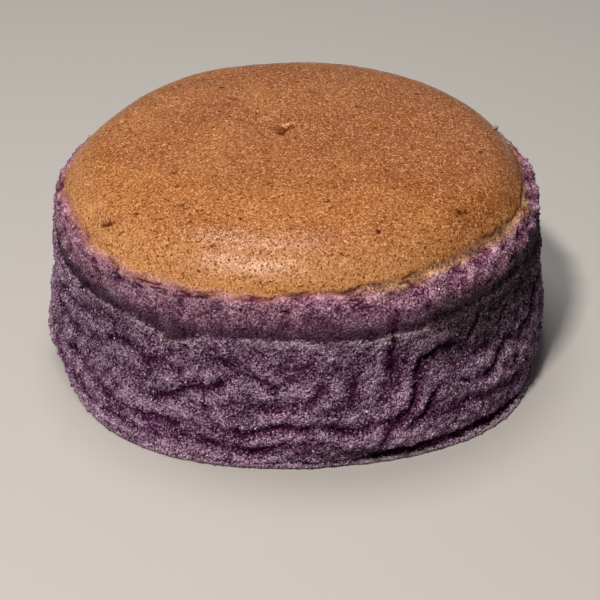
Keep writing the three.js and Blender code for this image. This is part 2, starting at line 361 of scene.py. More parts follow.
def sideRelief(azimuth, height, points, above):
    # the sum of all that stands out from or cuts into the smooth outline below the crust, each kind times
    # the share of it that is felt there, and the masks for its colours. above is the way along the
    # outline from the crust's edge, negative below it.
    folded = smooth(*side["foldsStart"], height) * (1 - smooth(*side["foldsEnd"], height))
    high = smooth(*side["highFolds"], height)
    valley, swelling, foldCrease = foldRelief(azimuth, height, points)
    wrinkle, wrinkleCrease = wrinkleRelief(azimuth, points)
    billow = noise(points * (1, 1, 2.4), 30, 4) + 0.5 * noise(points * (1, 1, 2.4), 15, 5)
    seam = height - seamHeight(azimuth) - 0.8 * noise(points, 7, 9) - 0.4 * noise(points, 3, 19)
    torn = smooth(-0.4, 0.15, noise(points, 12, 10))
    aboveSeam = smooth(-0.4, 0.8, seam)
    dulled = arcSpan(azimuth, *side["dulled"])
    drop = arcSum(side["shoulderDrops"], azimuth)
    shoulder = smooth(*side["shoulder"], height + drop + 1.8 * noise(points, 9, 24))
    shoulder *= 1 - smooth(-0.5, 2.5, above)
    collar = aboveSeam * (1 - shoulder)
    hollow, lip, span = footRelief(azimuth, height, points)

    collarCrease = noiseCrease(points * (1, 1, 3.4), 9, 25)
    cleft = noiseCrease(streakPlace(azimuth, above) + 2 * noise(points, 6, 26)[..., None], 7.5, 27)
    cleftShare = smooth(-0.15, 0.45, noise(points, 6.5, 28))
    grain = 0.58 * noise(points, 3.6, 12) + 0.42 * noise(points, 2.1, 13)
    lumps = (0.4 + 0.4 * arcSpan(azimuth, *side["lumpy"])) * noise(points * (1, 1, 1.5), 6.5, 14)
    pits = smooth(0.2, 0.7, noise(points * (1, 1, 1.6), 3.1, 15))

    relief = folded * (side["billow"] * billow + side["swelling"] * swelling)
    relief -= folded * (side["valley"] * valley + side["wrinkle"] * wrinkle)
    relief += (1 - folded) * (1 - span * (1 - smooth(2, 6, height))) * 0.25 * billow
    relief -= (1 - folded) * valley * high * 0.6
    relief += side["seamLip"] * bell(seam, 0.55) * torn * (1 - 0.7 * dulled)
    relief += side["seamStep"] * (1 - aboveSeam) * high
    relief += side["footLip"] * lip - side["footHollow"] * hollow
    relief += side["footSwell"] * bell(height - 3.2, 3.2) * arcSpan(azimuth, *side["swollen"])
    relief -= side["collarCrease"] * collar * np.exp(-collarCrease / 0.6)
    relief += shoulder * (lumps - side["pit"] * pits - side["cleft"] * cleftShare * np.exp(-cleft / 0.6))
    relief += (0.35 + 0.65 * folded + 0.25 * shoulder) * (side["grain"] * grain - side["pit"] * pits)

    # a crease counts as further away where it is faint, or where its kind does not belong
    crease = np.minimum(foldCrease + 3 * (1 - smooth(1.5, 5, height)), wrinkleCrease + 3 * (1 - folded))
    crease = np.minimum(crease, collarCrease + 0.75 + 3 * (1 - collar))
    crease = np.minimum(crease, cleft + 1.6 * (1 - cleftShare) + 3 * (1 - shoulder))
    toSeam = np.abs(seam) + 1.6 * (1 - torn) + 0.7 * dulled
    toFoot = np.abs(height - 1.5) + 1.2 * (1 - span)
    stainAndShade = smooth(*side["stainAndShadeStart"], height) * (1 - smooth(*side["stainAndShadeEnd"], height))
    masks = {
        "crease": crease,
        "paleLine": np.minimum(toSeam, toFoot),
        "collar": collar,
        "shoulder": shoulder,
        "tornEdge": torn * smooth(-3.6, -0.4, seam) * (1 - aboveSeam),
        "lip": np.clip(1.5 * lip, 0, 1) * (0.35 + 0.65 * span),
        # a stain on the right side, partly real and partly painted shade where the lamps reach less
        "stainAndShade": 0.9 * arcSpan(azimuth, *side["stainedAndShaded"]) * stainAndShade,
        # painted shade where a place lies deep: valleys, wrinkles, the foot's hollow and pits
        "deep": np.clip(0.25 * valley + 0.25 * wrinkle + 1.3 * hollow + 0.3 * pits, 0, 1.5),
    }
    return relief, masks


# Marks on the crust, in millimetres from its middle. Cracks and ridges are depth, width and a route of
# (x, y), and pits are x, y, depth and radius. The reach is how far from its middle a line is looked for.
crustMarks = {
    "reach": 24, "lineSteps": 32, "crackDepth": 1.3,
    "cracks": [(0.9, 0.6, [(-8.4, 6.8), (-6.9, 4.4), (-5.7, 2.7), (-4.1, 1.6), (-1.9, 3.2), (0.5, 4.8)]),
               (0.8, 1.5, [(-7.2, 2.6), (-5.9, -0.6), (-4.4, -4.0)]),
               (1.0, 0.8, [(-72.2, -49.2), (-69.3, -51.1), (-66.2, -52.6)]),
               (1.2, 1.2, [(-71.9, 14.8), (-69.7, 16.9), (-67.5, 18.8)]),
               (0.5, 0.6, [(-52.6, -61.4), (-51.0, -63.0), (-49.6, -64.2)]),
               (0.5, 0.7, [(4.6, -12.6), (7.6, -15.0), (11.4, -16.2)])],
    "ridges": [(0.75, 0.7, [(-15.0, 15.2), (-12.4, 11.4), (-9.7, 9.0), (-7.2, 5.8)]),
               (1.0, 0.7, [(-7.2, 5.8), (-4.6, 3.7), (-2.5, 5.2), (0.9, 7.2)]),
               (0.6, 1.0, [(-29.6, 6.9), (-26.9, 8.7), (-24.2, 7.7)]),
               (0.5, 1.3, [(-68.0, 22.6), (-63.0, 24.6), (-58.3, 24.4)]),
               (0.30, 2.0, [(38.7, -56.6), (42.0, -60.4), (45.6, -65.2)]),
               (0.35, 2.4, [(49.0, 3.2), (51.1, 4.2), (53.6, 4.0)]),
               (0.30, 1.6, [(8.0, 10.5), (13.0, 14.0), (15.5, 20.0)])],
    "pits": [(-6.3, 0.4, 1.1, 2.0), (-15.3, 15.8, 0.6, 1.0), (-73.2, 11.1, 0.5, 0.9), (59.4, -49.8, 0.9, 1.5),
             (61.6, -48.6, 0.5, 1.0), (-41.2, -51.7, 0.6, 1.0), (-58.3, -52.9, 0.6, 1.1),
             (-45.7, -30.3, 0.5, 1.0), (-58.6, -10.2, 0.5, 1.0), (24, 22, 0.4, 0.8), (33, -30, 0.4, 0.9),
             (11, -52, 0.4, 0.8), (-30, 42, 0.4, 0.9), (48, 38, 0.4, 0.9), (70, -8, 0.4, 0.9),
             (-20, -62, 0.5, 0.9), (29, -67, 0.5, 1.0)],
}


def lineRelief(marks, x, y):
    # the highest of depth * bell(distance to the route, width), fading to nothing at both ends of each
    # route, and the distance in mm to the nearest route, growing where it fades
    total = np.zeros_like(x)
    crease = np.full_like(x, farAway)
    for depth, width, route in marks:
        line = splineThrough(route, crustMarks["lineSteps"])
        middle = line.mean(0)
        near = np.flatnonzero(np.hypot(x - middle[0], y - middle[1]) < crustMarks["reach"])
        gap = np.hypot(x[near, None] - line[:, 0], y[near, None] - line[:, 1])
        fade = np.sin(np.pi * (gap.argmin(1) + 1) / (len(line) + 1)) ** 0.5
        total[near] = np.maximum(total[near], depth * fade * bell(gap.min(1), width))
        crease[near] = np.minimum(crease[near], gap.min(1) + 0.9 * (1 - fade * min(1, depth)))
    return total, crease


def crustRelief(x, y, points):
    # slow unevenness, a fine skin and the ridges, less crackDepth times the cracks, less bell-shaped pits.
    # Gives that height, the distance to the nearest mark, and the ridges.
    crack, crease = lineRelief(crustMarks["cracks"], x, y)
    ridge = lineRelief(crustMarks["ridges"], x, y)[0]
    pit = np.zeros_like(x)
    for pitX, pitY, depth, radius in crustMarks["pits"]:
        gap = np.hypot(x - pitX, y - pitY)
        pit += depth * bell(gap, radius)
        crease = np.minimum(crease, gap + 0.5 - 0.7 * radius)
    slow = 0.5 * noise(points, 46, 20) + 0.24 * noise(points, 17, 21)
    skin = 0.09 * noise(points, 3.2, 22) + 0.10 * noise(points, 6, 23)
    return slow + skin + ridge - crustMarks["crackDepth"] * crack - pit, crease - 0.1, ridge


# The ring where the crust meets the crumb: they have pulled apart in a thin crack, over a ruffled band
# that is widest at the front right and softly mixed with the crust at the left.
rift = {
    # the crust's edge is lower at the front left and the back right, and higher at the front right
    "bends": [(-2.0, -31, 22), (2.4, 47, 24), (-1.8, 118, 22)], "ripples": [(0.5, 9, 0), (0.35, 23, 60)],
    # stretches of it, in degrees: start, end and fade
    "leftSide": (-110, -22, 22), "rightSide": (22, 76, 14), "paleSide": (-100, 22, 36),
    "pulledSide": (-14, 80, 14),
    "crackDepth": 0.3, "crackWidth": 0.45, "band": 1.8, "bandLeft": 0.9, "bandRight": 1.0,
    "ruffle": 0.22, "ruffleCrease": 0.35, "frontRoll": 0.15,
    "softness": 0.5, "softLeft": 1.7, "softAway": 0.4,  # mm over which crust and crumb mix
}


# How golden the crust is at the back, and how much more so towards the front and the left, partly where the
# oven was cooler and partly as painted light where the key lamp falls, and less towards the right, partly as
# painted shade.
browningAndLight = {"back": 0.25, "front": 0.5, "left": 0.3, "right": -0.3}


def cakeSurface(radius, height, normal, azimuth, above):
    # a place on the outline, with the plan's lobes added to the radius, is pushed along the outline's
    # normal by sideOut * (1 - onCrust) + top * onCrust, and by what the ring between them adds.
    low = 1 - smooth(0, 12, height)
    high = smooth(64, cake["crustHeight"], height)
    plan = low * lobes(cake["footLobes"], azimuth)
    plan += (1 - low) * (1 - high) * lobes(cake["wallLobes"], azimuth)
    plan += high * lobes(cake["crustLobes"], azimuth)
    radius = radius + plan * np.minimum(1, radius / cake["crustRadius"])
    angle = np.radians(azimuth)
    x, y = radius * np.sin(angle), -radius * np.cos(angle)
    points = np.stack([x, y, height], -1)
    sideOut, masks = sideRelief(azimuth, height, points, above)
    top, markCrease, raised = crustRelief(x, y, points)

    edge = crustEdge(azimuth) + 0.9 * noise(points, 6, 30) + 0.4 * noise(points, 2.6, 35)
    gap = above - edge
    leftSide, rightSide = arcSpan(azimuth, *rift["leftSide"]), arcSpan(azimuth, *rift["rightSide"])
    pulled = 0.35 + 0.65 * arcSpan(azimuth, *rift["pulledSide"])
    pulled *= smooth(-0.5, 0.2, noise(points, 10, 31))
    riftGap = np.abs(gap - 0.5 * noise(points, 3.4, 32))
    band = rift["band"] + rift["bandRight"] * rightSide + rift["bandLeft"] * leftSide
    ruffle = bell(gap + 0.5 * band, 0.75 * band) * (1 - smooth(-0.3, 0.6, gap))
    streaks = streakPlace(azimuth, above)
    ruffleShare = smooth(-0.15, 0.4, noise(streaks, 9, 46))
    ruffleCrease = noiseCrease(streaks + 1.5 * noise(points, 5, 45)[..., None], 5.5, 33)
    nearEdge = bell(gap - 1.0, 3.2)
    onCrust = smooth(-0.9, 0.9, gap)

    relief = sideOut * (1 - onCrust) * (1 - 0.7 * ruffle * rightSide) + top * onCrust
    relief -= rift["crackDepth"] * pulled * bell(riftGap, rift["crackWidth"])
    relief += rift["ruffle"] * ruffle * noise(points, 3.4, 34)
    relief -= rift["ruffleCrease"] * ruffle * ruffleShare * np.exp(-ruffleCrease / 0.5)
    relief -= nearEdge * (1 - ruffle) * (0.25 * leftSide + 0.12) * ruffleShare * np.exp(-ruffleCrease / 0.6)
    relief += rift["frontRoll"] * rightSide * bell(gap - 1.6, 1.5)
    crease = np.minimum(masks["crease"] + 6 * onCrust, markCrease + 6 * (1 - smooth(0, 1, gap)))
    crease = np.minimum(crease, riftGap + 0.2 + 1.3 * (1 - pulled))
    wrinkled = np.clip(ruffle + 0.7 * nearEdge, 0, 1) * ruffleShare
    reach = np.clip(1.3 * bell(np.minimum(gap + 0.5 * band, 0), 0.75 * band), 0, 1)
    paleRim = (1 - smooth(2, 24, gap)) * arcSpan(azimuth, *rift["paleSide"])
    # golden carries the browning with painted light towards the front left and painted shade on the right
    golden = browningAndLight["back"] + browningAndLight["front"] * smooth(0, 75, -0.97 * y - 0.26 * x)
    golden += browningAndLight["left"] * smooth(30, 80, -x) + browningAndLight["right"] * smooth(20, 80, x)
    masks |= {
        "relief": relief,
        "crease": np.minimum(crease, ruffleCrease + 0.45 + 2.2 * (1 - wrinkled)),
        "softness": rift["softness"] + rift["softLeft"] * leftSide + rift["softAway"] * (1 - rightSide),
        "open": (1 - 0.6 * masks["collar"]) * (1 - 0.3 * masks["shoulder"]) * (1 - 0.5 * ruffle),
        "crustGap": np.clip(gap, -farAway, farAway),
        "ruffle": reach * rightSide,
        "blush": np.clip(reach * (1 - rightSide) + 0.7 * rightSide * bell(gap + 3.4, 1.6), 0, 1),
        "raised": raised * onCrust,
        "rim": np.maximum(0.6 * bell(gap - 0.6, 3.4), paleRim),
        "golden": golden,
    }
    moved = radius + relief * normal[0]
    place = np.stack([moved * np.sin(angle), -moved * np.cos(angle), height + relief * normal[1]], -1)
    place[..., 2] = np.maximum(place[..., 2], 0)
    return place, masks


def blurred(values, spread):
    # a bell-weighted mean over the wall's grid, wrapped round the cake, with the spread in grid steps
    steps = np.arange(-12, 13)
    weights = bell(steps, 1.4 * spread)
    weights /= weights.sum()
    across = sum(weight * np.roll(values, step, 1) for weight, step in zip(weights, steps))
    padded = np.pad(across, ((12, 12), (0, 0)), "edge")
    return sum(weight * padded[12 + step:12 + step + len(values)] for weight, step in zip(weights, steps))


def makeWall():
    # rows along the outline, closer together near the crust's edge and the foot, and columns round the
    # cake. The outline's normal is its slope turned by a right angle.
    columns = cake["columns"]
    line, along, edgeAlong = makeOutline()
    even = np.linspace(0, along[-1], cake["crowdingSteps"])
    edgeMore, edgeReach = cake["edgeCrowding"]
    footMore, footReach = cake["footCrowding"]
    crowding = 1 + edgeMore * bell(even - edgeAlong, edgeReach) + footMore * bell(even - 2, footReach)
    share = np.linspace(0, 1, cake["wallRows"] + 1)
    rowAt = np.interp(share, np.cumsum(crowding) / crowding.sum(), even)
    step = cake["slopeStep"]
    slope = np.stack([np.interp(rowAt + step, along, line[:, i]) - np.interp(rowAt - step, along, line[:, i])
                      for i in range(2)])
    slope /= np.linalg.norm(slope, axis=0)
    shape = (len(rowAt), columns)
    profile = (np.interp(rowAt, along, line[:, 0]), np.interp(rowAt, along, line[:, 1]),
               slope[1], -slope[0], rowAt - edgeAlong)
    radius, height, outward, upward, above = (
        np.broadcast_to(values[:, None], shape).ravel() for values in profile)
    azimuth = np.broadcast_to(np.arange(columns) * 360 / columns, shape).ravel()
    wall, masks = cakeSurface(radius, height, (outward, upward), azimuth, above)
    # how far each place stands above its surroundings: relief blurred a little, less relief blurred much
    relief = masks["relief"].reshape(shape)
    little, much = cake["standBlur"]
    masks["stand"] = np.clip(blurred(relief, little) - blurred(relief, much), -1, 1).ravel()
    return wall, masks, along[-1] - edgeAlong


def makeCap(wallCount, above):
    # a square grid bent to a disc, whose rim is the wall's last row: the larger of |a| and |b| is the
    # share of the radius, and the other sets the angle. Gives the inner points and the grid's point numbers.
    columns = cake["columns"]
    grid = np.linspace(-1, 1, columns // 4 + 1)
    a, b = np.meshgrid(grid, grid, indexing="ij")
    wide = np.abs(a) >= np.abs(b)
    reach = np.where(wide, a, b)
    quarter = np.pi / 4
    nearX = quarter * b / np.where(a == 0, 1, a)
    nearY = 2 * quarter - quarter * a / np.where(b == 0, 1, b)
    turn = np.where(wide, nearX, nearY)
    turn = np.where((a == 0) & (b == 0), 0, turn) + np.where(reach < 0, np.pi, 0)
    azimuth = (np.degrees(turn) + 90) % 360
    radius = np.abs(reach) * cake["capRadius"]
    step = 0.01
    tilt = (domeHeight(np.abs(radius - step)) - domeHeight(radius + step)) / (2 * step)
    size = np.hypot(tilt, 1)
    inner = np.zeros(radius.shape, bool)
    inner[1:-1, 1:-1] = True
    further = above + cake["capRadius"] - radius[inner]
    normal = ((tilt / size)[inner], (1 / size)[inner])
    cap, masks = cakeSurface(radius[inner], domeHeight(radius)[inner], normal, azimuth[inner], further)
    masks["stand"] = np.zeros(len(cap))
    index = np.zeros(radius.shape, int)
    index[inner] = wallCount + np.arange(inner.sum())
    index[~inner] = wallCount - columns + np.round(azimuth[~inner] / 360 * columns).astype(int) % columns
    return cap, masks, index


def makeCakeMesh():
    # wall, cap, and a flat underside of rings that shrink to a point, all sharing their edges
    columns = cake["columns"]
    wall, wallMasks, capAbove = makeWall()
    cap, capMasks, index = makeCap(len(wall), capAbove)
    wall[:columns, 2] = 0
    shrink = np.array([0.96, 0.66, 0.33])
    rings = ((wall[:columns] * (1, 1, 0))[None] * shrink[:, None, None]).reshape(-1, 3)
    points = np.vstack([wall, cap, rings, [[0, 0, 0]]])
    below = np.zeros(len(rings) + 1)
    masks = {name: np.concatenate([wallMasks[name], capMasks[name], below]) for name in wallMasks}

    j = np.arange(columns)
    k = (j + 1) % columns
    i = np.arange(cake["wallRows"])[:, None] * columns
    wallFaces = np.stack([i + j, i + k, i + k + columns, i + j + columns], -1).reshape(-1, 4)
    capFaces = np.stack([index[:-1, :-1], index[1:, :-1], index[1:, 1:], index[:-1, 1:]], -1).reshape(-1, 4)
    base = len(wall) + len(cap)
    ringStart = np.array([0, base, base + columns, base + 2 * columns])[:, None]
    ringFaces = np.stack([ringStart[:-1] + k, ringStart[:-1] + j, ringStart[1:] + j, ringStart[1:] + k], -1)
    fan = np.stack([ringStart[-1] + k, ringStart[-1] + j, np.full(columns, len(points) - 1)], -1)
    return points, np.vstack([wallFaces, capFaces, ringFaces.reshape(-1, 4)]), fan, masks


def meshFrom(name, points, quads, triangles, numbers, colours, material):
    # whole arrays into a mesh: corners first, then each face's first corner and corner count
    mesh = bpy.data.meshes.new(name)
    corners = np.concatenate([quads.ravel(), triangles.ravel()]).astype(np.int32)
    counts = np.concatenate([np.full(len(quads), 4), np.full(len(triangles), 3)]).astype(np.int32)
    mesh.vertices.add(len(points))
    mesh.vertices.foreach_set("co", (points * mm).astype(np.float32).ravel())
    mesh.loops.add(len(corners))
    mesh.loops.foreach_set("vertex_index", corners)
    mesh.polygons.add(len(counts))
    mesh.polygons.foreach_set("loop_start", np.concatenate([[0], np.cumsum(counts)[:-1]]).astype(np.int32))
    mesh.polygons.foreach_set("loop_total", counts)
    mesh.polygons.foreach_set("use_smooth", np.ones(len(counts), bool))
    for attribute, values in numbers.items():
        mesh.attributes.new(attribute, "FLOAT", "POINT").data.foreach_set("value", values.astype(np.float32))
    for attribute, values in colours.items():
        rgba = np.hstack([values, np.ones((len(values), 1))]).astype(np.float32)
        mesh.attributes.new(attribute, "FLOAT_COLOR", "POINT").data.foreach_set("color", rgba.ravel())
    mesh.update()
    mesh.validate()
    mesh.materials.append(material)
    piece = bpy.data.objects.new(name, mesh)
    bpy.context.scene.collection.objects.link(piece)
    return piece


def addNode(tree, kind, inputs=None, output=0, **settings):
    # one node: its settings, then its inputs by name or number, each a number, a hex colour or another
    # node's output. Gives back the output asked for. Map Range's inputs 1 and 2 are mapped to 3 and 4, and
    # Mix's are the numbers 2 and 3, or the colours 6 and 7.
    node = tree.nodes.new("ShaderNode" + kind)
    for name, value in settings.items():
        setattr(node, name, value)
    for name, value in (inputs or {}).items():
        socket = node.inputs[name]
        if isinstance(value, bpy.types.NodeSocket):
            tree.links.new(value, socket)
        else:
            socket.default_value = linear(value) if isinstance(value, str) else value
    return node.outputs[output]


def perMm(size):
    # the scale of a texture whose cells are size millimetres
    return 1 / (size * mm)


sponge = {
    # for each zone, the colours of its pits (painted shade in hollows and creases), its body and its bright
    # torn grains (partly a painted highlight)
    "zones": {
        "side": ("#38112f", "#673c62", "#c9acc6"),
        # the collar is greyer, and darker as painted shade under the shoulder's overhang
        "collar": ("#2c1224", "#492b41", "#806276"),
        # the shoulder is pinker, and paler as painted light where it faces up
        "shoulder": ("#481838", "#845770", "#cfa9bc"),
        "tornEdge": ("#33182d", "#775a6f", "#c9b2c2"),
        "ruffle": ("#562e20", "#9c7152", "#cda888"),
        "blush": ("#521e38", "#9a6878", "#d2a8b4"),
        # a stain on the right side, partly real and partly painted shade where the lamps reach less
        "stainAndShade": ("#140a0f", "#2c1a22", "#5c4450"),
        "lip": ("#3a2834", "#8f8089", "#c0b4bb"),
    },
    # the last of these is painted light where a place stands out and painted shade where it lies lower
    "cloudSize": 17, "cloudStrength": 0.18, "reliefPaintedLight": 0.25,
    # stretches of the side darkened by painted shade: how much, then azimuths and fade. The foot is paler by
    # painted light, all round by the first amount, and by the second as well in its stretch.
    "paintedShadeSides": [(0.12, 32, 70, 22), (0.16, -100, -50, 22)],
    "paintedLightFoot": (0.1, 0.12, -100, -10, 25),
    "seam": "#b69eac",
    # crumb cells are about a millimetre across; finer ones would not show
    "grainSize": 0.9, "glintSize": 0.75, "bubbleSize": 0.75,
}
crust = {
    "golden": "#a16636", "russet": "#8c5026", "deep": "#68360f", "bright": "#d7a373", "rim": "#bc895a",
    # the pore and crease colours are painted shade in the crust's pores and cracks
    "pore": "#6c300c", "crease": "#58250c", "ridge": "#ecc096",
    "patchSize": 22, "stippleSize": 0.95, "speckSize": 0.55, "mottleSize": 2.8,
    "poreSpacing": 2.0, "poreRadius": (0.10, 0.90),
}
# what the mesh tells the material at each point
numberNames = ("crease", "paleLine", "toneAndPaintedShading", "crustGap", "raised", "rim", "golden", "softness", "open")
tintNames = ("pitShadeColour", "bodyColour", "grainAndGlintColour")


def zoneColours(points, masks):
    # for pits, body and grains: start from the side's colour and move to each zone's by its mask, then
    # lighten and darken in slow clouds, with painted light where a place stands out and painted shade where
    # it lies lower, with painted shade on the darker stretches of the side, and painted light at the foot
    cloud = noise(points, sponge["cloudSize"], 50) + 0.5 * noise(points, sponge["cloudSize"] / 2.3, 51)
    azimuth = np.degrees(np.arctan2(points[:, 0], -points[:, 1]))
    # painted shade on stretches of the side, less on the shoulder, and painted light at the foot
    paintedSideShade = arcSum(sponge["paintedShadeSides"], azimuth)
    paintedSideShade *= smooth(8, 36, points[:, 2]) * (1 - 0.8 * masks["shoulder"])
    allRound, more, *stretch = sponge["paintedLightFoot"]
    paintedSideShade -= (allRound + more * arcSpan(azimuth, *stretch)) * (1 - smooth(12, 24, points[:, 2]))
    shade = 1 + sponge["cloudStrength"] * cloud + sponge["reliefPaintedLight"] * masks["stand"] - paintedSideShade
    colours = {}
    for number, name in enumerate(tintNames):
        colour = np.tile(linear(sponge["zones"]["side"][number])[:3], (len(points), 1))
        for zone in ("collar", "tornEdge", "shoulder", "stainAndShade", "lip", "blush", "ruffle"):
            target = np.array(linear(sponge["zones"][zone][number])[:3])
            colour += (target - colour) * np.clip(masks[zone], 0, 1)[:, None]
        colours[name] = colour * shade[:, None]
    return colours


def newMaterial(name):
    # a material with its node tree and its one shader
    material = bpy.data.materials.new(name)
    material.use_nodes = True
    return material, material.node_tree, material.node_tree.nodes["Principled BSDF"]


def makeSpongeMaterial():
    # Baked sponge: an open, matt purple crumb of torn bubbles with pale grains that catch the light, and
    # a browned egg crust, smoother and faintly shiny, stippled with pinprick pores.
    material, tree, shader = newMaterial("purpleSpongeBrownedCrust")
    node = functools.partial(addNode, tree)
    place = node("TexCoord", output="Object")
    number = {name: node("Attribute", output="Fac", attribute_name=name) for name in numberNames}
    tint = {name: node("Attribute", output="Color", attribute_name=name) for name in tintNames}

    # crumb: noise sets how deep each spot lies, and the tone and painted shading of the place shifts it. Deep
    # spots take the pit colour as painted shade, and high spots and glints the grain colour, partly as a
    # painted highlight. The glints' noise has four dimensions only so that it differs from the cells'.
    coarse = node("TexNoise", {"Vector": place, "Scale": perMm(sponge["grainSize"]), "Detail": 2.0,
                               "Roughness": 0.75})
    glint = node("TexNoise", {"Vector": place, "Scale": perMm(sponge["glintSize"]), "Detail": 1.0,
                              "Roughness": 0.6}, noise_dimensions="4D")
    bubble = node("TexVoronoi", {"Vector": place, "Scale": perMm(sponge["bubbleSize"])}, "Color")
    bubble = node("MapRange", {0: bubble, 3: -0.10, 4: 0.10})
    coarse = node("Math", {0: coarse, 1: bubble}, operation="ADD")
    contrast = node("MapRange", {0: number["open"], 3: 0.35, 4: 0.85})
    depth = node("Math", {0: coarse, 1: 0.5}, operation="SUBTRACT")
    depth = node("Math", {0: depth, 1: contrast, 2: 0.5}, operation="MULTIPLY_ADD")
    depth = node("Math", {0: depth, 1: number["toneAndPaintedShading"]}, operation="ADD")
    pitted = node("MapRange", {0: depth, 1: 0.50, 2: 0.38})
    torn = node("MapRange", {0: depth, 1: 0.51, 2: 0.64})
    glinting = node("Math", {0: glint, 1: number["toneAndPaintedShading"]}, operation="ADD")
    glinting = node("MapRange", {0: glinting, 1: 0.60, 2: 0.70})
    grainShare = node("Math", {0: torn, 1: glinting}, operation="MAXIMUM")
    crumb = node("Mix", {0: pitted, 6: tint["bodyColour"], 7: tint["pitShadeColour"]}, 2, data_type="RGBA")
    crumb = node("Mix", {0: grainShare, 6: crumb, 7: tint["grainAndGlintColour"]}, 2, data_type="RGBA")

    # pale torn line along the seam and the foot's lip
    ragged = node("MapRange", {0: coarse, 1: 0.3, 2: 0.7, 3: 0.45, 4: -0.45})
    pale = node("Math", {0: ragged, 1: 0.5, 2: number["paleLine"]}, operation="MULTIPLY_ADD")
    pale = node("MapRange", {0: pale, 1: 0.68, 2: 0.28, 4: 0.9})
    crumb = node("Mix", {0: pale, 6: crumb, 7: sponge["seam"]}, 2, data_type="RGBA")

    # crust: two browns in slow patches, shifted by the golden mask with its painted light and shade, paler at
    # the rim, stippled darker and lighter, palest on its ridges
    patch = node("TexNoise", {"Vector": place, "Scale": perMm(crust["patchSize"]), "Detail": 3.0,
                              "Roughness": 0.6})
    patch = node("MapRange", {0: patch, 1: 0.3, 2: 0.7, 3: -0.65, 4: 0.65})
    patch = node("Math", {0: number["golden"], 1: patch}, operation="ADD", use_clamp=True)
    browned = node("Mix", {0: patch, 6: crust["russet"], 7: crust["golden"]}, 2, data_type="RGBA")
    rim = node("Math", {0: number["rim"], 1: 0.55}, operation="MULTIPLY")
    browned = node("Mix", {0: rim, 6: browned, 7: crust["rim"]}, 2, data_type="RGBA")
    stipple = node("TexNoise", {"Vector": place, "Scale": perMm(crust["stippleSize"]), "Detail": 2.0,
                                "Roughness": 0.75})
    speck = node("TexVoronoi", {"Vector": place, "Scale": perMm(crust["speckSize"])}, "Color")
    speck = node("MapRange", {0: speck, 3: 0.0, 4: 0.46})
    stipple = node("Math", {0: stipple, 1: 0.5, 2: speck}, operation="MULTIPLY_ADD")
    # the dark and light stipple are partly painted shade in low spots and painted light on high ones, as the
    # bump below raises the stipple
    dark = node("MapRange", {0: stipple, 1: 0.44, 2: 0.28, 4: 0.95})
    light = node("MapRange", {0: stipple, 1: 0.53, 2: 0.68, 4: 0.8})
    browned = node("Mix", {0: dark, 6: browned, 7: crust["deep"]}, 2, data_type="RGBA")
    browned = node("Mix", {0: light, 6: browned, 7: crust["bright"]}, 2, data_type="RGBA")
    raised = node("MapRange", {0: number["raised"], 1: 0.3, 2: 0.9})
    broken = node("MapRange", {0: stipple, 1: 0.35, 2: 0.6, 3: 0.3})
    raised = node("Math", {0: raised, 1: broken}, operation="MULTIPLY")
    browned = node("Mix", {0: raised, 6: browned, 7: crust["ridge"]}, 2, data_type="RGBA")

    # pores: one in each cell of a scattering, of random size, most of them tiny, darkened with painted shade
    # in their hollows
    scaled = {"Vector": place, "Scale": perMm(crust["poreSpacing"])}
    poreGap = node("TexVoronoi", scaled, "Distance")
    poreSize = node("TexVoronoi", scaled, "Color")
    poreSize = node("Math", {0: poreSize, 1: 3.0}, operation="POWER")
    small, large = (radius / crust["poreSpacing"] for radius in crust["poreRadius"])
    poreSize = node("MapRange", {0: poreSize, 3: small, 4: large})
    inPore = node("Math", {0: poreSize, 1: poreGap}, operation="SUBTRACT")
    inPore = node("MapRange", {0: inPore, 1: -0.03, 2: 0.06, 4: 0.85})
    browned = node("Mix", {0: inPore, 6: browned, 7: crust["pore"]}, 2, data_type="RGBA")

    # crust over crumb, with a mottled edge as soft as the place asks for, then painted shade in all creases
    mottle = node("TexNoise", {"Vector": place, "Scale": perMm(crust["mottleSize"]), "Detail": 3.0,
                               "Roughness": 0.7})
    mottle = node("MapRange", {0: mottle, 1: 0.3, 2: 0.7, 3: -0.8, 4: 0.8})
    onCrust = node("Math", {0: mottle, 1: number["crustGap"]}, operation="ADD")
    onCrust = node("Math", {0: onCrust, 1: number["softness"]}, operation="DIVIDE")
    onCrust = node("MapRange", {0: onCrust, 1: -1.0, 2: 1.0})
    colour = node("Mix", {0: onCrust, 6: crumb, 7: browned}, 2, data_type="RGBA")
    creaseShadeColour = node("Mix", {0: onCrust, 6: tint["pitShadeColour"], 7: crust["crease"]}, 2, data_type="RGBA")
    creased = node("Math", {0: number["crease"], 1: ragged}, operation="ADD")
    creased = node("MapRange", {0: creased, 1: 0.85, 2: 0.25, 4: 0.92})
    colour = node("Mix", {0: creased, 6: colour, 7: creaseShadeColour}, 2, data_type="RGBA")
    tree.links.new(colour, shader.inputs["Base Color"])

    # torn grains are smoother than the rest of the crumb, and the crust is smoother still, except near
    # its edge
    crumbRough = node("MapRange", {0: grainShare, 3: 0.85, 4: 0.5})
    crustRough = node("MapRange", {0: stipple, 1: 0.3, 2: 0.7, 3: 0.28, 4: 0.20})
    crustRough = node("Math", {0: number["rim"], 1: 0.2, 2: crustRough}, operation="MULTIPLY_ADD")
    dull = node("MapRange", {0: number["crustGap"], 1: 8.5, 2: 3.0, 4: 0.9})
    dull = node("Math", {0: dull, 1: onCrust}, operation="MULTIPLY")
    crustRough = node("Math", {0: dull, 1: 0.4, 2: crustRough}, operation="MULTIPLY_ADD")
    rough = node("Mix", {0: onCrust, 2: crumbRough, 3: crustRough}, 0, data_type="FLOAT")
    tree.links.new(rough, shader.inputs["Roughness"])

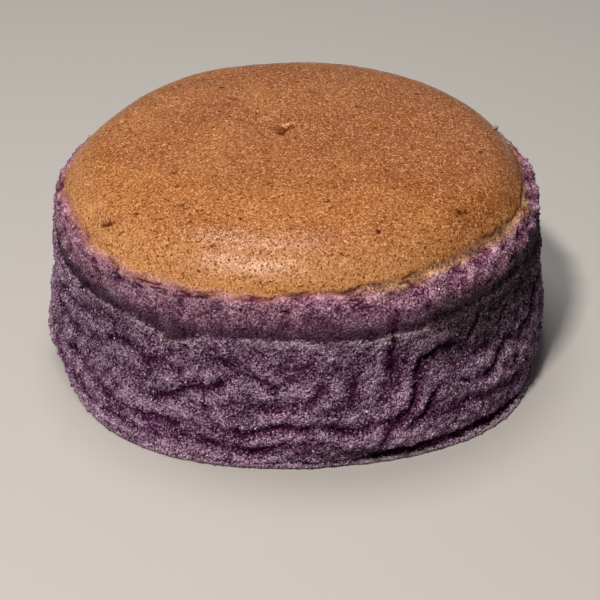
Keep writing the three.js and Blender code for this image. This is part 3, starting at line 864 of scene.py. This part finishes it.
    # pits, pores and creases have no shine, because little light finds its way back out of them, and the
    # crust close to its edge has next to none, because it is torn and dry there
    sunken = node("Mix", {0: onCrust, 2: pitted, 3: dark}, 0, data_type="FLOAT")
    sunken = node("Math", {0: sunken, 1: inPore}, operation="MAXIMUM")
    sunken = node("Math", {0: sunken, 1: creased}, operation="MAXIMUM")
    sunken = node("Math", {0: sunken, 1: dull}, operation="MAXIMUM")
    shine = node("MapRange", {0: sunken, 2: 0.9, 3: 0.5, 4: 0.0})
    tree.links.new(shine, shader.inputs["Specular IOR Level"])

    # relief finer than the mesh, in mm: crumb cells and grains about their mean, the crust's stipple and
    # pores, and the floor of each crease
    crumbHeight = node("Math", {0: coarse, 1: 1.7, 2: -1.15}, operation="MULTIPLY_ADD")
    crumbHeight = node("Math", {0: glint, 1: 0.8, 2: crumbHeight}, operation="MULTIPLY_ADD")
    crumbHeight = node("Math", {0: crumbHeight, 1: number["open"]}, operation="MULTIPLY")
    crustHeight = node("Math", {0: stipple, 1: 0.26}, operation="MULTIPLY")
    crustHeight = node("Math", {0: inPore, 1: -0.3, 2: crustHeight}, operation="MULTIPLY_ADD")
    height = node("Mix", {0: onCrust, 2: crumbHeight, 3: crustHeight}, 0, data_type="FLOAT")
    height = node("Math", {0: creased, 1: -0.4, 2: height}, operation="MULTIPLY_ADD")
    bump = node("Bump", {"Strength": 1.0, "Distance": mm, "Height": height})
    tree.links.new(bump, shader.inputs["Normal"])
    shader.inputs["IOR"].default_value = 1.4
    shader.inputs["Subsurface Weight"].default_value = 0.1
    shader.inputs["Subsurface Radius"].default_value = (1.0, 0.5, 0.5)
    shader.inputs["Subsurface Scale"].default_value = 1.5 * mm
    return material


points, quads, fan, masks = makeCakeMesh()
tints = zoneColours(points, masks)
# the tone is slow random tone, with painted light where a place stands out, painted shade where it lies deep,
# and a little painted shade in the collar
cloudTone = 0.030 * noise(points, 9, 52) + 0.025 * noise(points, 4, 53)
masks["toneAndPaintedShading"] = cloudTone + 0.12 * masks["stand"] - 0.08 * masks["deep"] - 0.02 * masks["collar"]
shown = {name: masks[name] for name in numberNames}
whole = meshFrom("wholeCake", points, quads, fan, shown, tints, makeSpongeMaterial())
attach(whole, "root")
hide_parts("cake")
print(f"cake: {2 * len(quads) + len(fan)} triangles")

# Torn crumbs that stand on the side, as the lining left them. Sizes are across a crumb, sunk is the share
# of it inside the side, and spread is how the small ones outnumber the large ones, as the two powers of a
# beta distribution. Strays are loose crumbs laid on the crust's edge at the right: x, y, z and size.
grain = {
    "count": 24000, "smallest": 0.4, "largest": 1.5, "spread": (1.6, 5.0), "sunk": 0.3, "seed": 5,
    # the first colour on this line is a painted glint for the palest grains
    "paleSpread": (1.2, 2.6), "glintPaint": "#e4dce3", "stray": "#8d776b",
    "strays": [(78.4, 19.1, 82.1, 3.2), (83.0, 9.4, 80.2, 2.8)],
}
tuft = {
    "count": 9500, "smallest": 0.9, "largest": 2.6, "spread": (1.4, 3.2), "sunk": 0.56, "seed": 6,
    "paler": 0.01, "strays": [],
}
crumbShape = {
    "uneven": (0.65, 1.25),  # how near to the middle and how far from it a corner may be
    "pressed": 0.1, "floorGap": 0.02,  # mm further into the side, and mm kept clear above the floor
    "triesEach": 8,  # random places looked at for each crumb
}


def surfaceSamples(count, randoms):
    # random places on the side: bilinear between the wall's corners, kept mostly where the crumb is open
    # and stands out, and only away from the crust. Gives them, the way outwards, and a point number for
    # each, to look up the crumb's colours.
    columns = cake["columns"]
    rows = cake["wallRows"] + 1
    wall = points[:rows * columns].reshape(rows, columns, 3)
    away = np.cross(np.roll(wall, -1, 1) - np.roll(wall, 1, 1), np.gradient(wall, axis=0))
    away /= np.linalg.norm(away, axis=-1, keepdims=True)
    crustGap, openness, stand, softness = (masks[name][:rows * columns].reshape(rows, columns)
                                           for name in ("crustGap", "open", "stand", "softness"))
    chance = (crustGap < -0.7 - softness) * (2.0 * openness - 0.9).clip(0.1, 1)
    chance *= np.clip(0.4 + 2.2 * stand + 0.8 * (1 - smooth(2, 7, wall[..., 2])), 0.1, 1.6)
    chance *= np.linalg.norm(np.gradient(wall, axis=0), axis=-1) * smooth(0.2, 1.0, wall[..., 2])
    tries = crumbShape["triesEach"] * count
    row, column = randoms.uniform(1, rows - 2, tries), randoms.uniform(0, columns, tries)
    i, j = row.astype(int), column.astype(int)
    kept = np.flatnonzero(randoms.uniform(0, chance.max(), tries) < chance[i, j])[:count]
    i, j = i[kept], j[kept]
    u, v = (row[kept] - i)[:, None], (column[kept] - j)[:, None]
    k = (j + 1) % columns
    lower = (1 - v) * wall[i, j] + v * wall[i, k]
    upper = (1 - v) * wall[i + 1, j] + v * wall[i + 1, k]
    return (1 - u) * lower + u * upper, away[i, j], i * columns + j


def turned(count, randoms):
    # rotation matrices from random unit quaternions
    quaternions = randoms.normal(size=(4, count))
    w, x, y, z = quaternions / np.linalg.norm(quaternions, axis=0)
    return np.array([[1 - 2 * (y * y + z * z), 2 * (x * y - w * z), 2 * (x * z + w * y)],
                     [2 * (x * y + w * z), 1 - 2 * (x * x + z * z), 2 * (y * z - w * x)],
                     [2 * (x * z - w * y), 2 * (y * z + w * x), 1 - 2 * (x * x + y * y)]]).transpose(2, 0, 1)


def makeCrumbs(kind, corners, faces, randoms):
    # each crumb is a solid with its corners at uneven distances from its middle, turned at random and
    # partly sunk, and the first ones are moved to the strays' places
    place, away, source = surfaceSamples(kind["count"], randoms)
    count, size = len(place), len(corners)
    across = randoms.beta(*kind["spread"], count)
    across = kind["smallest"] + (kind["largest"] - kind["smallest"]) * across
    strays = np.reshape(kind["strays"], (-1, 4))
    loose = slice(len(strays))
    place[loose], across[loose], away[loose] = strays[:, :3], strays[:, 3], 0
    uneven = corners[None] * randoms.uniform(*crumbShape["uneven"], (count, size, 1))
    uneven *= across[:, None, None] / 2
    uneven = np.einsum("nij,nkj->nki", turned(count, randoms), uneven)
    middle = place + away * (across * (0.5 - kind["sunk"]) - crumbShape["pressed"])[:, None]
    crumbPoints = (middle[:, None] + uneven).reshape(-1, 3)
    crumbPoints[:, 2] = np.maximum(crumbPoints[:, 2], crumbShape["floorGap"])
    crumbFaces = (faces[None] + size * np.arange(count)[:, None, None]).reshape(-1, 3)
    return crumbPoints, crumbFaces, np.repeat(source, size)


def makeGrainMaterial():
    # Torn sponge crumb: small moist facets in the colour of the crumb about them, that glint under the lamp
    material, tree, shader = newMaterial("tornSpongeCrumb")
    tint = addNode(tree, "Attribute", output="Color", attribute_name="grainTint")
    tree.links.new(tint, shader.inputs["Base Color"])
    shader.inputs["Roughness"].default_value = 0.6
    shader.inputs["IOR"].default_value = 1.4
    return material


# a grain is an octahedron
corners = np.array([(1, 0, 0), (-1, 0, 0), (0, 1, 0), (0, -1, 0), (0, 0, 1), (0, 0, -1)], float)
faces = np.array([(0, 2, 4), (2, 1, 4), (1, 3, 4), (3, 0, 4), (2, 0, 5), (1, 2, 5), (3, 1, 5), (0, 3, 5)])
randoms = np.random.default_rng(grain["seed"])
grainPoints, grainFaces, source = makeCrumbs(grain, corners, faces, randoms)
# from the body's colour to the grains' by a random share, and the palest on to a painted glint, less in the
# stain and painted shade and in the collar
size = len(corners)
share = np.repeat(randoms.beta(*grain["paleSpread"], len(source) // size), size)[:, None]
body, pale = tints["bodyColour"][source], tints["grainAndGlintColour"][source]
grainTint = body * (0.8 + 0.4 * share) + (pale - body) * share
clean = 1 - np.clip(masks["stainAndShade"] + 0.7 * masks["collar"], 0, 1)[source, None]
grainTint += (np.array(linear(grain["glintPaint"])[:3]) - grainTint) * smooth(0.6, 1.0, share) * clean
grainTint[:len(grain["strays"]) * size] = linear(grain["stray"])[:3]
noQuads = np.zeros((0, 4), int)
grainTints = {"grainTint": grainTint}
grains = meshFrom("crumbGrains", grainPoints, noQuads, grainFaces, {}, grainTints, makeGrainMaterial())
grains.data.polygons.foreach_set("use_smooth", np.zeros(len(grainFaces), bool))
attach(grains, "root")
print(f"grains: {len(grainFaces)} triangles")

# a tuft is a rounder lump of twenty faces, in the crumb's own material
ratio = (1 + math.sqrt(5)) / 2  # the golden ratio
corners = np.array([(-1, ratio, 0), (1, ratio, 0), (-1, -ratio, 0), (1, -ratio, 0), (0, -1, ratio),
                    (0, 1, ratio), (0, -1, -ratio), (0, 1, -ratio), (ratio, 0, -1), (ratio, 0, 1),
                    (-ratio, 0, -1), (-ratio, 0, 1)]) / math.hypot(1, ratio)
faces = np.array([(0, 11, 5), (0, 5, 1), (0, 1, 7), (0, 7, 10), (0, 10, 11), (1, 5, 9), (5, 11, 4),
                  (11, 10, 2), (10, 7, 6), (7, 1, 8), (3, 9, 4), (3, 4, 2), (3, 2, 6), (3, 6, 8), (3, 8, 9),
                  (4, 9, 5), (2, 4, 11), (6, 2, 10), (8, 6, 7), (9, 8, 1)])
randoms = np.random.default_rng(tuft["seed"])
tuftPoints, tuftFaces, source = makeCrumbs(tuft, corners, faces, randoms)
# a tuft has the tone and painted shading and the colours of the crumb under it, and no creases, pale lines or
# crust
plain = {"crease": 4.0, "paleLine": 4.0, "crustGap": -6.0, "raised": 0.0, "rim": 0.0, "golden": 0.0,
         "softness": 1.0}
tuftNumbers = {name: np.full(len(source), value) for name, value in plain.items()}
tuftNumbers |= {"toneAndPaintedShading": shown["toneAndPaintedShading"][source] + tuft["paler"], "open": shown["open"][source]}
tuftTints = {name: values[source] for name, values in tints.items()}
spongeMaterial = whole.data.materials[0]
tufts = meshFrom("crumbTufts", tuftPoints, noQuads, tuftFaces, tuftNumbers, tuftTints, spongeMaterial)
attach(tufts, "root")
print(f"tufts: {len(tuftFaces)} triangles")

stage = {
    "floorSize": 6.0, "floorColour": "#b0aeac", "worldColour": "#e9ecf0", "worldStrength": 0.08,
    # soft lamps: azimuth and elevation of the direction they shine from, distance, size, power, colour
    "lamps": {
        "key": (-26, 58, 1.20, (0.15, 0.11), 14.2, "#fff6ec"),
        "overhead": (-150, 78, 1.10, (0.50, 0.40), 5.2, "#fffaf4"),
        "window": (170, 26, 1.90, (2.00, 0.90), 1.4, "#eef4ff"),
    },
    "lampAim": (0, 0, 0.05), "aim": (0.001, 0.0, 0.0136),  # where the lamps and the camera look
    "distance": 0.750, "elevation": 32.3, "lens": 110.9,
}


def makeFloorMaterial():
    # Matt painted board: plain and pale, so that only the cake has colour
    material, tree, shader = newMaterial("mattPaintedBoard")
    shader.inputs["Base Color"].default_value = linear(stage["floorColour"])
    shader.inputs["Roughness"].default_value = 0.8
    return material


def lookAlong(thing, target):
    # turns an object's -Z towards the target, with +Y as up
    gap = [t - p for t, p in zip(target, thing.location)]
    thing.rotation_euler = mathutils.Vector(gap).to_track_quat("-Z", "Y").to_euler()


corner = stage["floorSize"] / 2
floorMesh = bpy.data.meshes.new("floor")
floorCorners = [(-corner, -corner, 0), (corner, -corner, 0), (corner, corner, 0), (-corner, corner, 0)]
floorMesh.from_pydata(floorCorners, [], [(0, 1, 2, 3)])
floorMesh.materials.append(makeFloorMaterial())
floor = bpy.data.objects.new("floor", floorMesh)
bpy.context.scene.collection.objects.link(floor)

world = bpy.data.worlds.new("studio")
world.use_nodes = True
world.node_tree.nodes["Background"].inputs["Color"].default_value = linear(stage["worldColour"])
world.node_tree.nodes["Background"].inputs["Strength"].default_value = stage["worldStrength"]
bpy.context.scene.world = world

for name, (azimuth, elevation, distance, size, power, colour) in stage["lamps"].items():
    level = distance * math.cos(math.radians(elevation))
    position = (level * math.sin(math.radians(azimuth)), -level * math.cos(math.radians(azimuth)),
                distance * math.sin(math.radians(elevation)))
    lamp = bpy.data.lights.new(name, "AREA")
    lamp.shape = "RECTANGLE"
    lamp.size, lamp.size_y = size
    lamp.energy = power
    lamp.color = linear(colour)[:3]
    holder = bpy.data.objects.new(name, lamp)
    holder.location = position
    lookAlong(holder, stage["lampAim"])
    bpy.context.scene.collection.objects.link(holder)

view = bpy.data.cameras.new("camera")
view.lens = stage["lens"]
view.sensor_width = 36
camera = bpy.data.objects.new("camera", view)
tilt = math.radians(stage["elevation"])
camera.location = (stage["aim"][0], stage["aim"][1] - stage["distance"] * math.cos(tilt),
                   stage["aim"][2] + stage["distance"] * math.sin(tilt))
lookAlong(camera, stage["aim"])
bpy.context.scene.collection.objects.link(camera)
bpy.context.scene.camera = camera
bpy.context.scene.view_settings.view_transform = "Standard"
print("stage: floor, lamps and camera are set")
